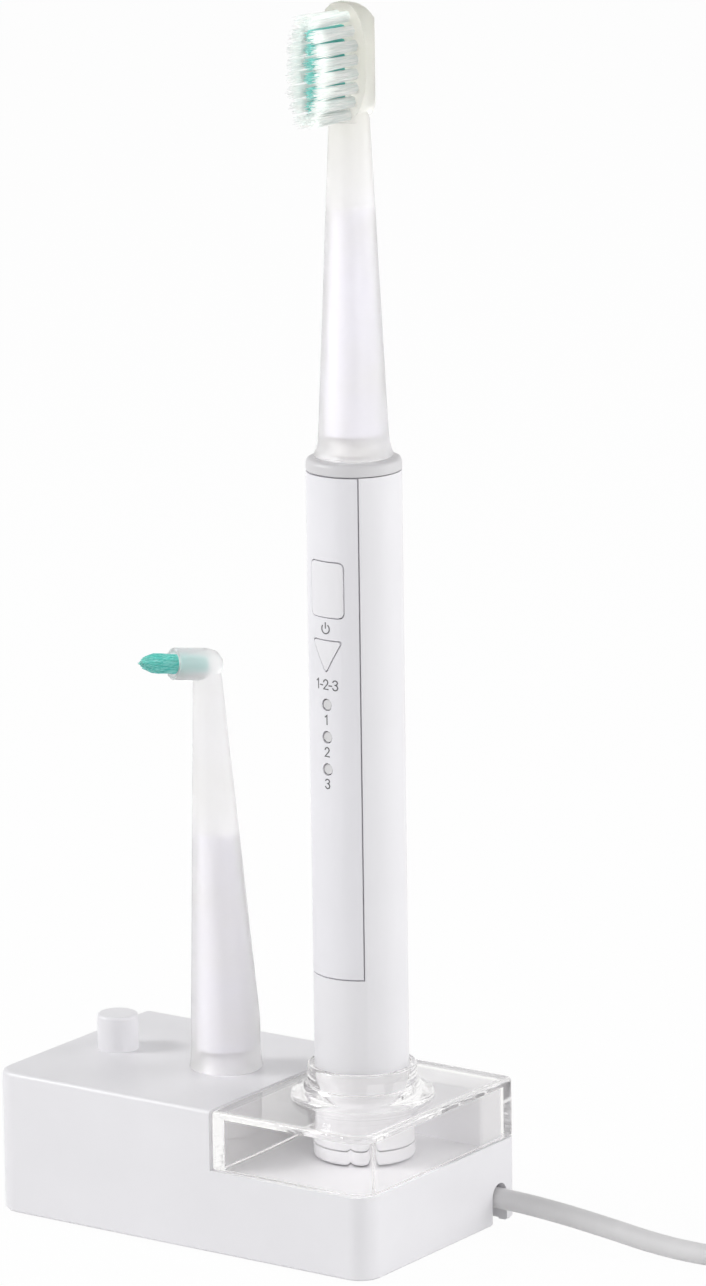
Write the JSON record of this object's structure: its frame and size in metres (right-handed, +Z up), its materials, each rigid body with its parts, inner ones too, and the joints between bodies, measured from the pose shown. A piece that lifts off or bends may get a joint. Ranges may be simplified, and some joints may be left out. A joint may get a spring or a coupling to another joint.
{
  "type": "electric toothbrush on charger",
  "caption": "Slim rechargeable toothbrush standing in a flat two-level charger under a clear collar cover, with a pointed spare head on a storage peg and a cord with its plug.",
  "frame": {"origin": "centre of the charger's footprint, on the surface its feet rest on", "axes": "+Z up along the handle, the charger's front and the bristles face -Y, the cord leaves towards +X"},
  "size_m": [0.282, 0.0698, 0.2635],
  "materials": {
    "white_plastic": "smooth gloss",
    "grey_plastic": "satin",
    "clear_plastic": "polished clear",
    "frosted_plastic": "translucent, lightly frosted",
    "inner_plastic": "matt",
    "white_bristle": "fine filaments",
    "green_bristle": "fine filaments",
    "grey_cord": "satin",
    "dark_rubber": "matt",
    "grey_rubber": "matt",
    "lens": "smooth",
    "steel": "satin",
    "copper": "enamelled wire",
    "ferrite": "matt",
    "board": "solder mask",
    "cell_wrap": "shrink wrap",
    "brass": "plated"
  },
  "bodies": {
    "base": {"base_housing": "white_plastic", "bottom_plate": "white_plastic", "rubber_foot_1": "grey_rubber", "rubber_foot_2": "grey_rubber", "rubber_foot_3": "grey_rubber", "rubber_foot_4": "grey_rubber", "bottom_screw_1": "steel", "bottom_screw_2": "steel", "bottom_screw_3": "steel", "bottom_screw_4": "steel", "charger_board": "board", "filter_capacitor": "ferrite", "coil_bobbin": "inner_plastic", "primary_coil": "copper", "ferrite_core": "ferrite", "cord_bushing": "grey_cord", "cord": "grey_cord", "cord_coil": "grey_cord", "cable_tie": "dark_rubber", "cord_end": "grey_cord", "plug_body": "grey_cord", "plug_blade_1": "brass", "plug_blade_2": "brass"},
    "cover": {"clear_cover": "clear_plastic"},
    "handset": {"handle_shell": "white_plastic", "front_panel": "white_plastic", "top_ring": "grey_plastic", "bottom_cap": "white_plastic", "cap_seal": "dark_rubber", "led_lens_1": "lens", "led_lens_2": "lens", "led_lens_3": "lens", "carrier": "grey_plastic", "cell": "cell_wrap", "cell_spring": "steel", "cell_contact": "brass", "handset_board": "board", "receiver_coil": "copper", "motor_case": "steel", "motor_bearing": "brass", "stator_coil": "copper", "shaft_seal": "dark_rubber"},
    "power_key": {"power_button": "white_plastic"},
    "mode_key": {"mode_button": "white_plastic"},
    "drive": {"drive_shaft": "steel", "rotor_magnet": "ferrite"},
    "brush_head": {"brush_head_shell": "frosted_plastic", "brush_head_core": "inner_plastic", "white_bristles": "white_bristle", "green_bristles": "green_bristle"},
    "spare_head": {"spare_head_shell": "frosted_plastic", "spare_head_core": "inner_plastic", "spare_tuft": "green_bristle"}
  },
  "joints": [
    {"name": "cover_lift", "type": "slide", "parent": "base", "child": "cover", "axis": [0, 0, 1], "range_m": [0, 0.03]},
    {"name": "handset_lift", "type": "slide", "parent": "base", "child": "handset", "axis": [0, 0, 1], "range_m": [0, 0.04]},
    {"name": "spare_head_lift", "type": "slide", "parent": "base", "child": "spare_head", "axis": [0, 0, 1], "range_m": [0, 0.03]},
    {"name": "power_button_press", "type": "slide", "parent": "handset", "child": "power_key", "axis": [0.0785, 0.9969, 0], "range_m": [0, 0.0006], "stiffness_N_per_m": 1500},
    {"name": "mode_button_press", "type": "slide", "parent": "handset", "child": "mode_key", "axis": [0.0785, 0.9969, 0], "range_m": [0, 0.0006], "stiffness_N_per_m": 1500},
    {"name": "drive_shaft_swing", "type": "hinge", "parent": "handset", "child": "drive", "pos_m": [0.0285, 0, 0.15], "axis": [0, 0, 1], "range_deg": [-4.5, 4.5], "stiffness_Nm_per_rad": 0.05},
    {"name": "brush_head_pull", "type": "slide", "parent": "drive", "child": "brush_head", "axis": [0, 0, 1], "range_m": [0, 0.03]}
  ]
}
